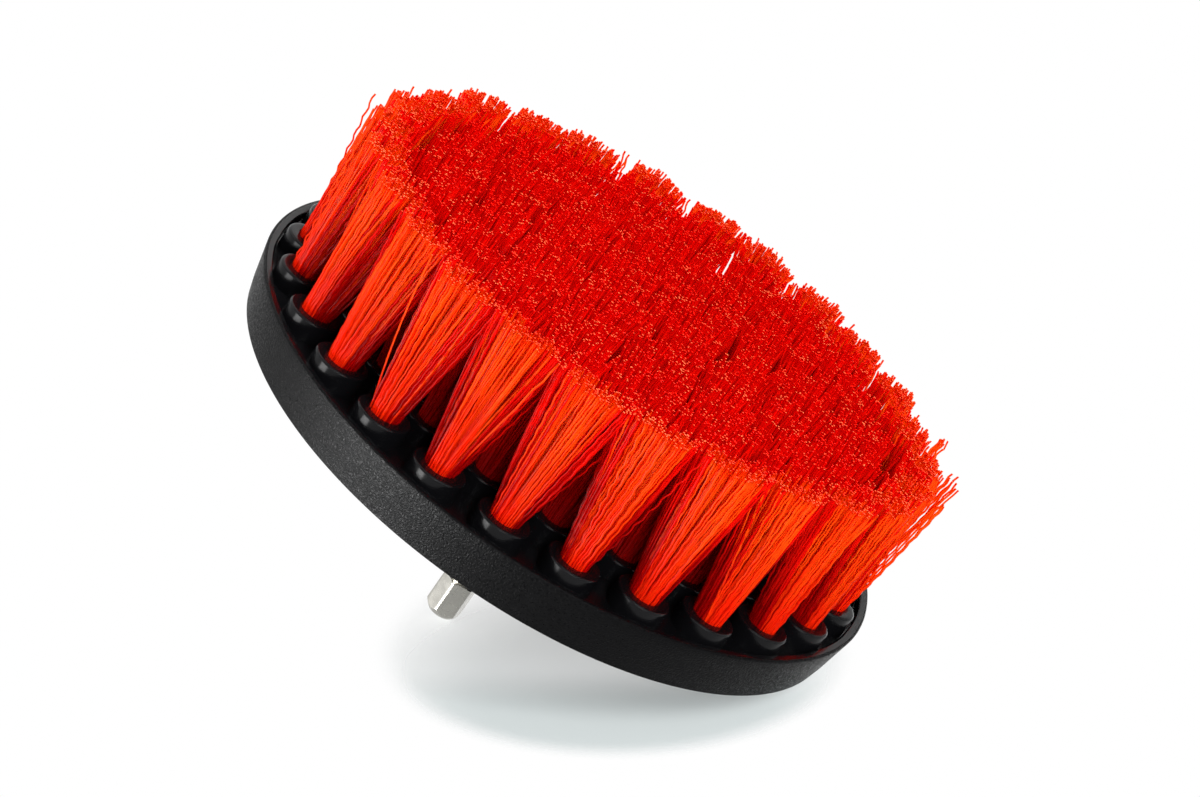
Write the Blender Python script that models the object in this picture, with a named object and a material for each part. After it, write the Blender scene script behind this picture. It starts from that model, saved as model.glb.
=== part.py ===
"""Drill brush with a five-inch plate, standing on its trimmed bristle tips.

A moulded plate carries the tufts, and a hex shank moulded into its hub goes into a drill chuck.
Metres, +Z up. Z = 0 is the plane of the cut tips, and the shank points up along +Z.
"""
import math

import bmesh
import bpy
from mathutils import Matrix, Vector

MM = 0.001
SEAT_GAP = 0.3 * MM

# Plate: a shallow dish whose open side faces the bristles.
RIM_RADIUS = 63.5 * MM
RIM_FLARE = 1.8 * MM
RIM_HEIGHT = 9.9 * MM
RIM_LAND = 2.0 * MM
RIM_ROUND = 0.6 * MM
BACK_ROUND = 0.4 * MM
DISH_DEPTH = 1.5 * MM
RIM_STEPS = 80

# Back of the plate: a hub and spokes left standing between moulded recesses.
HUB_RADIUS = 13.0 * MM
HUB_RISE = 7.0 * MM
HUB_DRAFT = 1.5 * MM
HUB_ROUND = 0.8 * MM
RECESS_DEPTH = 2.2 * MM
RECESS_INNER = 18.0 * MM
RECESS_OUTER = 52.0 * MM
SPOKE_COUNT = 8
SPOKE_WIDTH = 4.0 * MM
RECESS_ARC_STEPS = 6

# Tufts: rings of bosses, each with a blind hole that a folded tuft is stapled into.
# The outer ring stands against the rim's land, and the others share the way in to a lone tuft
# on the axis. Each is turned on a little from the last, and has as many tufts as will go in.
LEAST_TUFT_SPACING = 13.4 * MM
OUTER_TURN = math.radians(-3.5)
TURN_PER_RING = math.radians(7.6)
BOSS_RISE = 2.3 * MM
BOSS_TOP_RADIUS = 5.1 * MM
BOSS_DRAFT = 0.3 * MM
BOSS_ROUND = 0.5 * MM
BOSS_TO_LAND = 0.1 * MM
LEAST_BOSS_SPACING = 0.4 * MM
BOSS_SIDES = 12
HOLE_RADIUS = 2.85 * MM
HOLE_DEPTH = 8.6 * MM
HOLE_SIDES = 8
SLICE_THICKNESS = 1.5 * MM
SLICE_SIDES = 48
SLICE_HOLE_SIDES = 24
INNER_BOSS_SIDES = 8

# Bristles: free length from the boss tops to the cut. A strand stands for a bundle of filaments:
# its radius at the root and at the cut, and the space left between strands and between tufts.
BRISTLE_REACH = 26.8 * MM
OUTER_STRANDS = 6
OUTER_ROOT_RADIUS = 0.55 * MM
OUTER_TIP_RADIUS = 1.6 * MM
OUTER_SPREAD = 3.4 * MM
INNER_ROOT_RADIUS = 0.95 * MM
INNER_TIP_RADIUS = 2.4 * MM
INNER_SPREAD = 3.4 * MM
STRAND_SIDES = 3
STRAND_GAP = 0.25 * MM
TUFT_GAP = 0.6 * MM
PLUG_SIDES = 6

# Staple anchors: short flat wires that lie in the fold of each tuft.
ANCHOR_THICKNESS = 0.5 * MM
ANCHOR_WIDTH = 1.8 * MM
ANCHOR_LENGTH = 4.5 * MM
ANCHOR_FROM_BOTTOM = 1.2 * MM
ANCHOR_EDGE = 0.12 * MM

# Shank: quarter-inch hex bar with a snap groove, and a hex head inside the hub.
SHANK_ACROSS_FLATS = 6.35 * MM
SHANK_REACH = 37.2 * MM
SHANK_CHAMFER = 1.2 * MM
GROOVE_FROM_END = 7.8 * MM
GROOVE_WIDTH = 3.6 * MM
GROOVE_DEPTH = 0.75 * MM
GROOVE_SLOPE = 0.6 * MM
SHANK_HEAD_ACROSS_FLATS = 12.0 * MM
SHANK_HEAD_THICKNESS = 4.0 * MM
SHANK_HEAD_BELOW_HUB = 3.0 * MM
TURNED_STEPS = 24

# Places of the rings, from the plate's rim inwards.
BOSS_FOOT_RADIUS = BOSS_TOP_RADIUS + BOSS_DRAFT
OUTER_RING = RIM_RADIUS - RIM_LAND - BOSS_TO_LAND - BOSS_TOP_RADIUS
RINGS = int(OUTER_RING / (2.0 * BOSS_FOOT_RADIUS + LEAST_BOSS_SPACING))
RING_PITCH = OUTER_RING / RINGS

# Levels, from the cut tips up to the end of the shank.
BOSS_TOP_Z = BRISTLE_REACH
RIM_EDGE_Z = BOSS_TOP_Z + BOSS_RISE
FLOOR_Z = RIM_EDGE_Z + DISH_DEPTH
BACK_Z = RIM_EDGE_Z + RIM_HEIGHT
HUB_TOP_Z = BACK_Z + HUB_RISE
SHANK_END_Z = BACK_Z + SHANK_REACH
HOLE_END_Z = BOSS_TOP_Z + HOLE_DEPTH
ANCHOR_Z = HOLE_END_Z - SEAT_GAP - ANCHOR_FROM_BOTTOM - ANCHOR_WIDTH / 2.0
HEAD_TOP_Z = HUB_TOP_Z - SHANK_HEAD_BELOW_HUB
HEAD_BOTTOM_Z = HEAD_TOP_Z - SHANK_HEAD_THICKNESS

BLACK_PLASTIC = ((0.012, 0.012, 0.013, 1.0), 0.35, 0.0)
RED_FILAMENT = ((0.80, 0.035, 0.008, 1.0), 0.42, 0.0)
STEEL = ((0.62, 0.60, 0.55, 1.0), 0.28, 1.0)
GALVANISED_WIRE = ((0.55, 0.56, 0.57, 1.0), 0.45, 1.0)


def clear_scene():
    for obj in list(bpy.data.objects):
        bpy.data.objects.remove(obj, do_unlink=True)


def make_material(name, finish):
    colour, roughness, metallic = finish
    material = bpy.data.materials.new(name)
    material.use_nodes = True
    shader = material.node_tree.nodes["Principled BSDF"]
    shader.inputs["Base Color"].default_value = colour
    shader.inputs["Roughness"].default_value = roughness
    shader.inputs["Metallic"].default_value = metallic
    material.diffuse_color = colour
    return material


def add_object(name, mesh, finish=None):
    obj = bpy.data.objects.new(name, mesh)
    bpy.context.scene.collection.objects.link(obj)
    if finish is not None:
        obj.data.materials.append(make_material(name, finish))
    return obj


def add_cutter(name, mesh):
    cutter = add_object(name, mesh)
    cutter.hide_render = True
    cutter.display_type = "WIRE"
    return cutter


def combine(obj, other, operation):
    modifier = obj.modifiers.new(other.name, "BOOLEAN")
    modifier.operation = operation
    modifier.solver = "EXACT"
    modifier.object = other


def finish_mesh(bm, name, smooth_angle=35.0):
    bmesh.ops.recalc_face_normals(bm, faces=bm.faces[:])
    mesh = bpy.data.meshes.new(name)
    bm.to_mesh(mesh)
    bm.free()
    mesh.shade_smooth()
    mesh.set_sharp_from_angle(angle=math.radians(smooth_angle))
    return mesh


def polygon(radius, sides, turn=0.0):
    """Corners of a regular polygon, anticlockwise, with one corner at the angle turn."""
    step = 2.0 * math.pi / sides
    return [
        Vector((radius * math.cos(turn + k * step), radius * math.sin(turn + k * step)))
        for k in range(sides)
    ]


def ring_of_edges(bm, points, z):
    """A closed loop of new vertices at height z, and its edges."""
    verts = [bm.verts.new((p.x, p.y, z)) for p in points]
    edges = [bm.edges.new((a, b)) for a, b in zip(verts, verts[1:] + verts[:1])]
    return verts, edges


def wall(bm, low, high):
    """Side faces between two loops with the same number of corners."""
    for k in range(len(low)):
        m = (k + 1) % len(low)
        bm.faces.new((low[k], low[m], high[m], high[k]))


def add_prism(bm, low_points, high_points, low_z, high_z):
    low, _ = ring_of_edges(bm, low_points, low_z)
    high, _ = ring_of_edges(bm, high_points, high_z)
    wall(bm, low, high)
    bm.faces.new(low)
    bm.faces.new(high)


def turned_mesh(name, profiles, steps):
    """Solids of revolution about Z, one for each closed profile of (radius, height) points."""
    bm = bmesh.new()
    for profile in profiles:
        verts = [bm.verts.new((radius, 0.0, z)) for radius, z in profile]
        on_axis = [v for v in verts if v.co.x < SEAT_GAP / 100.0]
        edges = []
        for a, b in zip(verts, verts[1:] + verts[:1]):
            if not (a in on_axis and b in on_axis):
                edges.append(bm.edges.new((a, b)))
        bmesh.ops.spin(
            bm, geom=verts + edges, axis=(0.0, 0.0, 1.0), cent=(0.0, 0.0, 0.0),
            angle=2.0 * math.pi, steps=steps, use_merge=True, use_duplicate=False,
        )
    bmesh.ops.remove_doubles(bm, verts=bm.verts[:], dist=SEAT_GAP / 100.0)
    return finish_mesh(bm, name)


def rounded_corner(before, corner, after, radius, steps=2):
    """Points of a round-off of a profile corner, from one side to the other."""
    corner = Vector(corner)
    start = (Vector(before) - corner).normalized()
    end = (Vector(after) - corner).normalized()
    half = start.angle(end) / 2.0
    reach = radius / math.tan(half)
    centre = corner + (start + end).normalized() * (radius / math.sin(half))
    first = corner + start * reach - centre
    last = corner + end * reach - centre
    sweep = first.angle_signed(last)
    points = []
    for k in range(steps + 1):
        angle = -sweep * k / steps
        points.append(centre + Matrix.Rotation(angle, 2) @ first)
    return [(p.x, p.y) for p in points]


def ring_radius(ring):
    """Radius of a ring of tufts, numbered from 0 at the rim to RINGS for the lone tuft on the axis."""
    return (RINGS - ring) * RING_PITCH


def ring_places(ring):
    """The angle of every tuft of a ring, about Z."""
    count = max(int(2.0 * math.pi * ring_radius(ring) / LEAST_TUFT_SPACING), 1)
    turn = OUTER_TURN + ring * TURN_PER_RING
    return [turn + k * 2.0 * math.pi / count for k in range(count)]


def placed(points, radius, angle):
    """Points of a boss or strand section, moved out to a tuft's place on its ring."""
    turn = Matrix.Rotation(angle, 2)
    return [turn @ (p + Vector((radius, 0.0))) for p in points]


# The plate.
def plate_profile():
    flare_at = lambda z: RIM_RADIUS - RIM_FLARE * (z - RIM_EDGE_Z) / RIM_HEIGHT
    pocket_radius = slice_outer(1) + SEAT_GAP
    pocket_z = FLOOR_Z + SLICE_THICKNESS + SEAT_GAP
    inner_edge = (RIM_RADIUS - RIM_LAND, RIM_EDGE_Z)
    outer_edge = (RIM_RADIUS, RIM_EDGE_Z)
    inner_foot = (flare_at(FLOOR_Z) - RIM_LAND, FLOOR_Z)
    back_edge = (flare_at(BACK_Z), BACK_Z)
    hub_foot = (HUB_RADIUS + HUB_DRAFT, BACK_Z)
    hub_edge = (HUB_RADIUS, HUB_TOP_Z)
    points = [(0.0, pocket_z), (pocket_radius, pocket_z), (pocket_radius, FLOOR_Z), inner_foot]
    points += rounded_corner(inner_foot, inner_edge, outer_edge, RIM_ROUND, 1)
    points += rounded_corner(inner_edge, outer_edge, back_edge, RIM_ROUND)
    points += rounded_corner(outer_edge, back_edge, hub_foot, BACK_ROUND)
    points += [hub_foot]
    points += rounded_corner(hub_foot, hub_edge, (0.0, HUB_TOP_Z), HUB_ROUND)
    points += [(0.0, HUB_TOP_Z)]
    return points


def boss_mesh(places):
    """Round bosses with a slight draft and a rounded lip, standing on the dish's floor."""
    bm = bmesh.new()
    foot = polygon(BOSS_FOOT_RADIUS, BOSS_SIDES)
    lip = polygon(BOSS_TOP_RADIUS, BOSS_SIDES)
    top = polygon(BOSS_TOP_RADIUS - BOSS_ROUND, BOSS_SIDES)
    root_z = FLOOR_Z + SLICE_THICKNESS
    for angle in places:
        loops = []
        for points, z in ((foot, root_z), (lip, BOSS_TOP_Z + BOSS_ROUND), (top, BOSS_TOP_Z)):
            loops.append(ring_of_edges(bm, placed(points, OUTER_RING, angle), z)[0])
        wall(bm, loops[0], loops[1])
        wall(bm, loops[1], loops[2])
        bm.faces.new(loops[0])
        bm.faces.new(loops[2])
    return finish_mesh(bm, "boss_blanks")


def hole_mesh(places):
    bm = bmesh.new()
    hole = polygon(HOLE_RADIUS, HOLE_SIDES, math.pi / HOLE_SIDES)
    for angle in places:
        points = placed(hole, OUTER_RING, angle)
        add_prism(bm, points, points, BOSS_TOP_Z - SEAT_GAP, HOLE_END_Z)
    return finish_mesh(bm, "hole_cutters")


def recess_mesh():
    """Sector-shaped recesses between the spokes, open to the back."""
    bm = bmesh.new()
    pitch = 2.0 * math.pi / SPOKE_COUNT
    for k in range(SPOKE_COUNT):
        points = []
        for radius, order in ((RECESS_INNER, 1), (RECESS_OUTER, -1)):
            trim = math.asin(SPOKE_WIDTH / 2.0 / radius)
            arc = []
            for step in range(RECESS_ARC_STEPS + 1):
                angle = k * pitch + trim + (pitch - 2.0 * trim) * step / RECESS_ARC_STEPS
                arc.append(Vector((radius * math.cos(angle), radius * math.sin(angle))))
            points += arc[::order]
        add_prism(bm, points, points, BACK_Z - RECESS_DEPTH, BACK_Z + SEAT_GAP)
    return finish_mesh(bm, "recess_cutters")


def hex_points(across_flats):
    """A hexagon with one flat facing -Y."""
    return polygon(across_flats / 2.0 / math.cos(math.pi / 6), 6)


def shank_cavity_mesh():
    """The space in the hub that the shank and its head fill, with the seat gap all round."""
    bm = bmesh.new()
    head = hex_points(SHANK_HEAD_ACROSS_FLATS + 2.0 * SEAT_GAP)
    bar = hex_points(SHANK_ACROSS_FLATS + 2.0 * SEAT_GAP)
    low, _ = ring_of_edges(bm, head, HEAD_BOTTOM_Z - SEAT_GAP)
    high, _ = ring_of_edges(bm, head, HEAD_TOP_Z + SEAT_GAP)
    neck, _ = ring_of_edges(bm, bar, HEAD_TOP_Z + SEAT_GAP)
    mouth, _ = ring_of_edges(bm, bar, HUB_TOP_Z + SEAT_GAP)
    wall(bm, low, high)
    wall(bm, high, neck)
    wall(bm, neck, mouth)
    bm.faces.new(low)
    bm.faces.new(mouth)
    return finish_mesh(bm, "shank_cavity")


def make_plate():
    places = ring_places(0)
    plate = add_object("base_plate", turned_mesh("base_plate", [plate_profile()], RIM_STEPS), BLACK_PLASTIC)
    combine(plate, add_cutter("boss_blanks", boss_mesh(places)), "UNION")
    combine(plate, add_cutter("hole_cutters", hole_mesh(places)), "DIFFERENCE")
    combine(plate, add_cutter("recess_cutters", recess_mesh()), "DIFFERENCE")
    combine(plate, add_cutter("shank_cavity", shank_cavity_mesh()), "DIFFERENCE")


# The shank.
def make_shank():
    bm = bmesh.new()
    head = hex_points(SHANK_HEAD_ACROSS_FLATS)
    bar = hex_points(SHANK_ACROSS_FLATS)
    low, _ = ring_of_edges(bm, head, HEAD_BOTTOM_Z)
    high, _ = ring_of_edges(bm, head, HEAD_TOP_Z)
    neck, _ = ring_of_edges(bm, bar, HEAD_TOP_Z)
    end, _ = ring_of_edges(bm, bar, SHANK_END_Z)
    wall(bm, low, high)
    wall(bm, high, neck)
    wall(bm, neck, end)
    bm.faces.new(low)
    bm.faces.new(end)
    shank = add_object("hex_shank", finish_mesh(bm, "hex_shank"), STEEL)

    clear = SHANK_ACROSS_FLATS
    core = SHANK_ACROSS_FLATS / 2.0 - GROOVE_DEPTH
    groove_top = SHANK_END_Z - GROOVE_FROM_END
    groove_low = groove_top - GROOVE_WIDTH
    slope = GROOVE_SLOPE * (clear - core) / GROOVE_DEPTH
    groove = [
        (core, groove_low + GROOVE_SLOPE),
        (clear, groove_low + GROOVE_SLOPE - slope),
        (clear, groove_top - GROOVE_SLOPE + slope),
        (core, groove_top - GROOVE_SLOPE),
    ]
    tip = SHANK_ACROSS_FLATS / 2.0 - SHANK_CHAMFER / 2.0
    lean = (clear - tip) * 2.0
    chamfer = [
        (tip, SHANK_END_Z),
        (clear, SHANK_END_Z - lean),
        (clear, SHANK_END_Z + SHANK_CHAMFER),
        (tip, SHANK_END_Z + SHANK_CHAMFER),
    ]
    cutter = add_cutter("shank_turning", turned_mesh("shank_turning", [groove, chamfer], TURNED_STEPS))
    combine(shank, cutter, "DIFFERENCE")


# Bristles.
def add_strand(bm, root, tip, sizes, radius, angle):
    """One strand from its root on the boss top down to the cut plane; returns its root edges."""
    turn = math.atan2(root.y, root.x)
    root_points = [p + root for p in polygon(sizes[0], STRAND_SIDES, turn)]
    tip_points = [p + tip for p in polygon(sizes[1], STRAND_SIDES, turn)]
    root_loop, root_edges = ring_of_edges(bm, placed(root_points, radius, angle), BOSS_TOP_Z)
    tip_loop, _ = ring_of_edges(bm, placed(tip_points, radius, angle), 0.0)
    wall(bm, root_loop, tip_loop)
    bm.faces.new(tip_loop)
    return root_edges


def fill_between(bm, edges):
    """Flat faces between an outer loop and the loops inside it."""
    bmesh.ops.triangle_fill(bm, use_beauty=True, use_dissolve=False, edges=edges)


def outer_strands():
    """Root and tip of each strand of an outer tuft: one in the middle and the others around it."""
    root = plug_corner_radius() - STRAND_GAP - OUTER_ROOT_RADIUS
    half_spacing = OUTER_RING * math.sin(math.pi / len(ring_places(0)))
    sideways = half_spacing - TUFT_GAP / 2.0 - OUTER_TIP_RADIUS
    pairs = [(Vector((0.0, 0.0)), Vector((0.0, 0.0)))]
    for way in polygon(1.0, OUTER_STRANDS, math.pi / 2.0):
        pairs.append((way * root, Vector((way.x * OUTER_SPREAD, way.y * sideways))))
    return pairs


def inner_strands():
    """Root and tip of each of the four strands of an inner tuft."""
    root = HOLE_RADIUS - STRAND_GAP - INNER_ROOT_RADIUS
    pairs = []
    for way in polygon(1.0, 4, math.pi / 4.0):
        pairs.append((way * root, way * INNER_SPREAD * math.sqrt(2.0)))
    return pairs


def plug_corner_radius():
    """Radius of a tuft's packed root, which clears the flats of its hole by the seat gap."""
    return HOLE_RADIUS * math.cos(math.pi / HOLE_SIDES) - SEAT_GAP


def outer_tuft_mesh():
    """A tuft, its root packed into a short plug with a slit across it for the anchor."""
    bm = bmesh.new()
    plug_end_z = HOLE_END_Z - SEAT_GAP
    slit_low = ANCHOR_Z - ANCHOR_WIDTH / 2.0 - SEAT_GAP
    slit_high = ANCHOR_Z + ANCHOR_WIDTH / 2.0 + SEAT_GAP
    slit_half = ANCHOR_THICKNESS / 2.0 + SEAT_GAP
    section = placed(polygon(plug_corner_radius(), PLUG_SIDES, math.pi / PLUG_SIDES), OUTER_RING, 0.0)
    mouth, root_edges = ring_of_edges(bm, section, BOSS_TOP_Z)
    end, end_edges = ring_of_edges(bm, section, plug_end_z)
    uprights = [bm.edges.new((a, b)) for a, b in zip(mouth, end)]
    bm.faces.new(end)
    slits = []
    for k in range(PLUG_SIDES):
        m = (k + 1) % PLUG_SIDES
        if abs(section[k].x - section[m].x) > SEAT_GAP / 100.0:
            bm.faces.new((mouth[k], mouth[m], end[m], end[k]))
            continue
        x = section[k].x
        corners = ((-slit_half, slit_low), (slit_half, slit_low), (slit_half, slit_high), (-slit_half, slit_high))
        slit = [bm.verts.new((x, y, z)) for y, z in corners]
        slit_edges = [bm.edges.new((a, b)) for a, b in zip(slit, slit[1:] + slit[:1])]
        fill_between(bm, slit_edges + [root_edges[k], end_edges[k], uprights[k], uprights[m]])
        slits.append(slit)
    wall(bm, slits[0], slits[1])
    sizes = (OUTER_ROOT_RADIUS, OUTER_TIP_RADIUS)
    for root, tip in outer_strands():
        root_edges += add_strand(bm, root, tip, sizes, OUTER_RING, 0.0)
    fill_between(bm, root_edges)
    return finish_mesh(bm, "outer_tuft")


def make_outer_tufts():
    mesh = outer_tuft_mesh()
    mesh.materials.append(make_material("bristle_filament", RED_FILAMENT))
    for number, angle in enumerate(ring_places(0), 1):
        tuft = add_object(f"outer_tuft_{number:02d}", mesh)
        tuft.rotation_euler.z = angle


def make_anchors():
    bm = bmesh.new()
    bmesh.ops.create_cube(bm, size=1.0)
    size = Matrix.Diagonal((ANCHOR_LENGTH, ANCHOR_THICKNESS, ANCHOR_WIDTH, 1.0))
    place = Matrix.Translation((OUTER_RING, 0.0, ANCHOR_Z))
    bmesh.ops.transform(bm, matrix=place @ size, verts=bm.verts[:])
    mesh = finish_mesh(bm, "staple_anchor")
    mesh.materials.append(make_material("anchor_wire", GALVANISED_WIRE))
    for number, angle in enumerate(ring_places(0), 1):
        anchor = add_object(f"staple_anchor_{number:02d}", mesh)
        anchor.rotation_euler.z = angle
        bevel = anchor.modifiers.new("rolled_edge", "BEVEL")
        bevel.width = ANCHOR_EDGE
        bevel.segments = 1


def slice_outer(ring):
    """Outer radius of the slice of plate under a ring, halfway to the next ring out."""
    return ring_radius(ring) + RING_PITCH / 2.0 - SEAT_GAP / 2.0


def slice_inner(ring):
    return ring_radius(ring) - RING_PITCH / 2.0 + SEAT_GAP / 2.0


def inner_ring_mesh(ring, name):
    """A ring of tufts on the slice of the plate's floor, with bosses, that carries them."""
    bm = bmesh.new()
    radius = ring_radius(ring)
    slice_z = FLOOR_Z + SLICE_THICKNESS
    outer = polygon(slice_outer(ring), SLICE_SIDES)
    floor_loop, floor_edges = ring_of_edges(bm, outer, FLOOR_Z)
    under_loop, under_edges = ring_of_edges(bm, outer, slice_z)
    wall(bm, floor_loop, under_loop)
    if slice_inner(ring) > 0.0:
        inner = polygon(slice_inner(ring) / math.cos(math.pi / SLICE_HOLE_SIDES), SLICE_HOLE_SIDES)
        inner_floor, inner_floor_edges = ring_of_edges(bm, inner, FLOOR_Z)
        inner_under, inner_under_edges = ring_of_edges(bm, inner, slice_z)
        wall(bm, inner_floor, inner_under)
        floor_edges += inner_floor_edges
        under_edges += inner_under_edges
    fill_between(bm, under_edges)
    foot = polygon(BOSS_FOOT_RADIUS, INNER_BOSS_SIDES, math.pi / INNER_BOSS_SIDES)
    top = polygon(BOSS_TOP_RADIUS, INNER_BOSS_SIDES, math.pi / INNER_BOSS_SIDES)
    sizes = (INNER_ROOT_RADIUS, INNER_TIP_RADIUS)
    for angle in ring_places(ring):
        foot_loop, foot_edges = ring_of_edges(bm, placed(foot, radius, angle), FLOOR_Z)
        top_loop, top_edges = ring_of_edges(bm, placed(top, radius, angle), BOSS_TOP_Z)
        wall(bm, foot_loop, top_loop)
        floor_edges += foot_edges
        for root, tip in inner_strands():
            top_edges += add_strand(bm, root, tip, sizes, radius, angle)
        fill_between(bm, top_edges)
    fill_between(bm, floor_edges)
    return finish_mesh(bm, name)


def make_inner_rings():
    for ring in range(1, RINGS):
        name = f"bristle_ring_{ring + 1}"
        add_object(name, inner_ring_mesh(ring, name), RED_FILAMENT)
    add_object("centre_tuft", inner_ring_mesh(RINGS, "centre_tuft"), RED_FILAMENT)


clear_scene()
make_plate()
make_shank()
make_outer_tufts()
make_anchors()
make_inner_rings()
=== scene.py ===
import math

import bmesh
import bpy
import numpy as np
from mathutils import Matrix, Vector


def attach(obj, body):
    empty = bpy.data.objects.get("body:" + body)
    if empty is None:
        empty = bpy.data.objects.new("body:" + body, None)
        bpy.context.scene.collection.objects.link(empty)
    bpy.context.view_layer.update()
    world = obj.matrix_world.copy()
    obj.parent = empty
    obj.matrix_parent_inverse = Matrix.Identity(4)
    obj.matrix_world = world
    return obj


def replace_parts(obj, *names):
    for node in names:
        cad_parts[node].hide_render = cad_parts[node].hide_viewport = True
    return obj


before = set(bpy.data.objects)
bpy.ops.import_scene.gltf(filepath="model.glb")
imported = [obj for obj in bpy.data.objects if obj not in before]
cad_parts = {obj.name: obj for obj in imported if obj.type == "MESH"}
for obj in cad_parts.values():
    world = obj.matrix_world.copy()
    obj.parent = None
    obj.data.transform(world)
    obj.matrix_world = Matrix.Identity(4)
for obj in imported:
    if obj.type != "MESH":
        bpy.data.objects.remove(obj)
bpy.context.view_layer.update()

# The plate is one moulding in black plastic: a shallow dish with a flared rim, a forest of round
# bosses drilled for the tufts, and a back with moulded recesses, spokes and a hub for the shank.
# The tool is polished inside, and spark-eroded to a fine grain on the rim's wall and on the back.
MM = 0.001
BOSS_TOP = 26.8 * MM
RIM_EDGE = 29.1 * MM
DISH_FLOOR = 30.6 * MM
PLATE_BACK = 39.0 * MM
HUB_TOP = 46.0 * MM
RIM_RADIUS = 63.5 * MM
BACK_RADIUS = 61.7 * MM
LAND_INNER = 61.7 * MM
DISH_RADIUS = 61.6 * MM
LAND_ROUND = 0.45 * MM
BACK_ROUND = 0.35 * MM
RIM_STEPS = 288

OUTER_RING = 56.3 * MM
RINGS = 5
RING_PITCH = OUTER_RING / RINGS
TUFT_SPACING = 13.4 * MM
OUTER_TURN = math.radians(-3.5)
TURN_PER_RING = math.radians(7.6)
BOSS_STEPS = 40
BOSS_FOOT = 5.2 * MM
BOSS_RADIUS = 5.08 * MM
BOSS_ROUND = 0.5 * MM
HOLE_RADIUS = 2.85 * MM
HOLE_ROUND = 0.3 * MM
HOLE_END = 35.2 * MM

RECESS_DEPTH = 2.2 * MM
RECESS_LIP = ((0.0, 0.0), (0.12 * MM, 0.1 * MM), (0.3 * MM, 0.45 * MM))
RECESS_INNER = 18.0 * MM
RECESS_OUTER = 52.0 * MM
SPOKES = 8
SPOKE_WIDTH = 4.0 * MM
RECESS_DRAFT = 0.25 * MM
RECESS_STEPS = 24
HUB_FOOT = 14.5 * MM
HUB_RADIUS = 13.0 * MM
HUB_FILLET = 1.0 * MM
HUB_ROUND = 0.9 * MM
SOCKET_ACROSS_FLATS = 6.95 * MM
SOCKET_DEPTH = 3.3 * MM


def arc(centre, radius, start, end, steps=5):
    """Points (radius, height) of a round-off, between two angles in degrees."""
    angles = [math.radians(start + (end - start) * k / steps) for k in range(steps + 1)]
    return [(centre[0] + radius * math.cos(a), centre[1] + radius * math.sin(a)) for a in angles]


def circle(steps, radius, centre=(0.0, 0.0)):
    """Points (x, y) of a closed outline, evenly spaced round the centre."""
    angles = [2.0 * math.pi * k / steps for k in range(steps)]
    return [(centre[0] + radius * math.cos(a), centre[1] + radius * math.sin(a)) for a in angles]


def loop_of(bm, outline, height):
    """New vertices along a flat outline, and the closed loop of edges that joins them."""
    verts = [bm.verts.new((x, y, height)) for x, y in outline]
    edges = [bm.edges.new(pair) for pair in zip(verts, verts[1:] + verts[:1])]
    return verts, edges


def bridge(bm, first, second, finish=0):
    """A band of quads between two loops with the same number of vertices."""
    for k in range(len(first)):
        m = (k + 1) % len(first)
        face = bm.faces.new((first[k], first[m], second[m], second[k]))
        face.material_index = finish


def turned_band(bm, profile, steps, centre=(0.0, 0.0), finish=0):
    """Sweeps a profile of (radius, height) points round a vertical axis; returns its two end loops."""
    first = last = loop_of(bm, circle(steps, profile[0][0], centre), profile[0][1])
    for radius, height in profile[1:]:
        step = loop_of(bm, circle(steps, radius, centre), height)
        bridge(bm, last[0], step[0], finish)
        last = step
    return first, last


def flat_face(bm, edges, finish=0):
    """Fills the flat area between an outer loop and the loops inside it."""
    made = bmesh.ops.triangle_fill(bm, use_beauty=True, use_dissolve=False, edges=edges)
    for item in made["geom"]:
        if isinstance(item, bmesh.types.BMFace):
            item.material_index = finish


def piece_from(bm, name, materials, sharp_over=32.0):
    """An object of the finished mesh, shaded smooth except over sharp edges, on the one body."""
    bmesh.ops.recalc_face_normals(bm, faces=bm.faces[:])
    mesh = bpy.data.meshes.new(name)
    bm.to_mesh(mesh)
    bm.free()
    for material in materials:
        mesh.materials.append(material)
    mesh.shade_smooth()
    mesh.set_sharp_from_angle(angle=math.radians(sharp_over))
    piece = bpy.data.objects.new(name, mesh)
    bpy.context.scene.collection.objects.link(piece)
    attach(piece, "root")
    return piece


def tuft_places():
    """(ring, angle, radius) of every tuft, from the rim to the lone tuft on the axis."""
    places = []
    for ring in range(RINGS + 1):
        radius = (RINGS - ring) * RING_PITCH
        count = max(int(2.0 * math.pi * radius / TUFT_SPACING), 1)
        for k in range(count):
            places.append((ring, OUTER_TURN + ring * TURN_PER_RING + 2.0 * math.pi * k / count, radius))
    return places


def new_material(name):
    """A material with its node tree, ready to be built up."""
    material = bpy.data.materials.new(name)
    material.use_nodes = True
    return material, material.node_tree.nodes, material.node_tree.links


def noise_at(nodes, links, size, detail=2.0, stretch=(1.0, 1.0, 1.0)):
    """Noise with features of about this size, in metres, fixed to the object."""
    coords = nodes.new("ShaderNodeTexCoord")
    mapping = nodes.new("ShaderNodeMapping")
    mapping.inputs["Scale"].default_value = stretch
    noise = nodes.new("ShaderNodeTexNoise")
    noise.inputs["Scale"].default_value = 1.0 / size
    noise.inputs["Detail"].default_value = detail
    links.new(coords.outputs["Object"], mapping.inputs["Vector"])
    links.new(mapping.outputs["Vector"], noise.inputs["Vector"])
    return noise.outputs["Fac"]


def spread(nodes, links, value, low, high, from_low=0.35, from_high=0.65):
    """Maps a noise's middle range to the range low to high."""
    ramp = nodes.new("ShaderNodeMapRange")
    ramp.inputs["From Min"].default_value = from_low
    ramp.inputs["From Max"].default_value = from_high
    ramp.inputs["To Min"].default_value = low
    ramp.inputs["To Max"].default_value = high
    links.new(value, ramp.inputs["Value"])
    return ramp.outputs["Result"]


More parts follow.
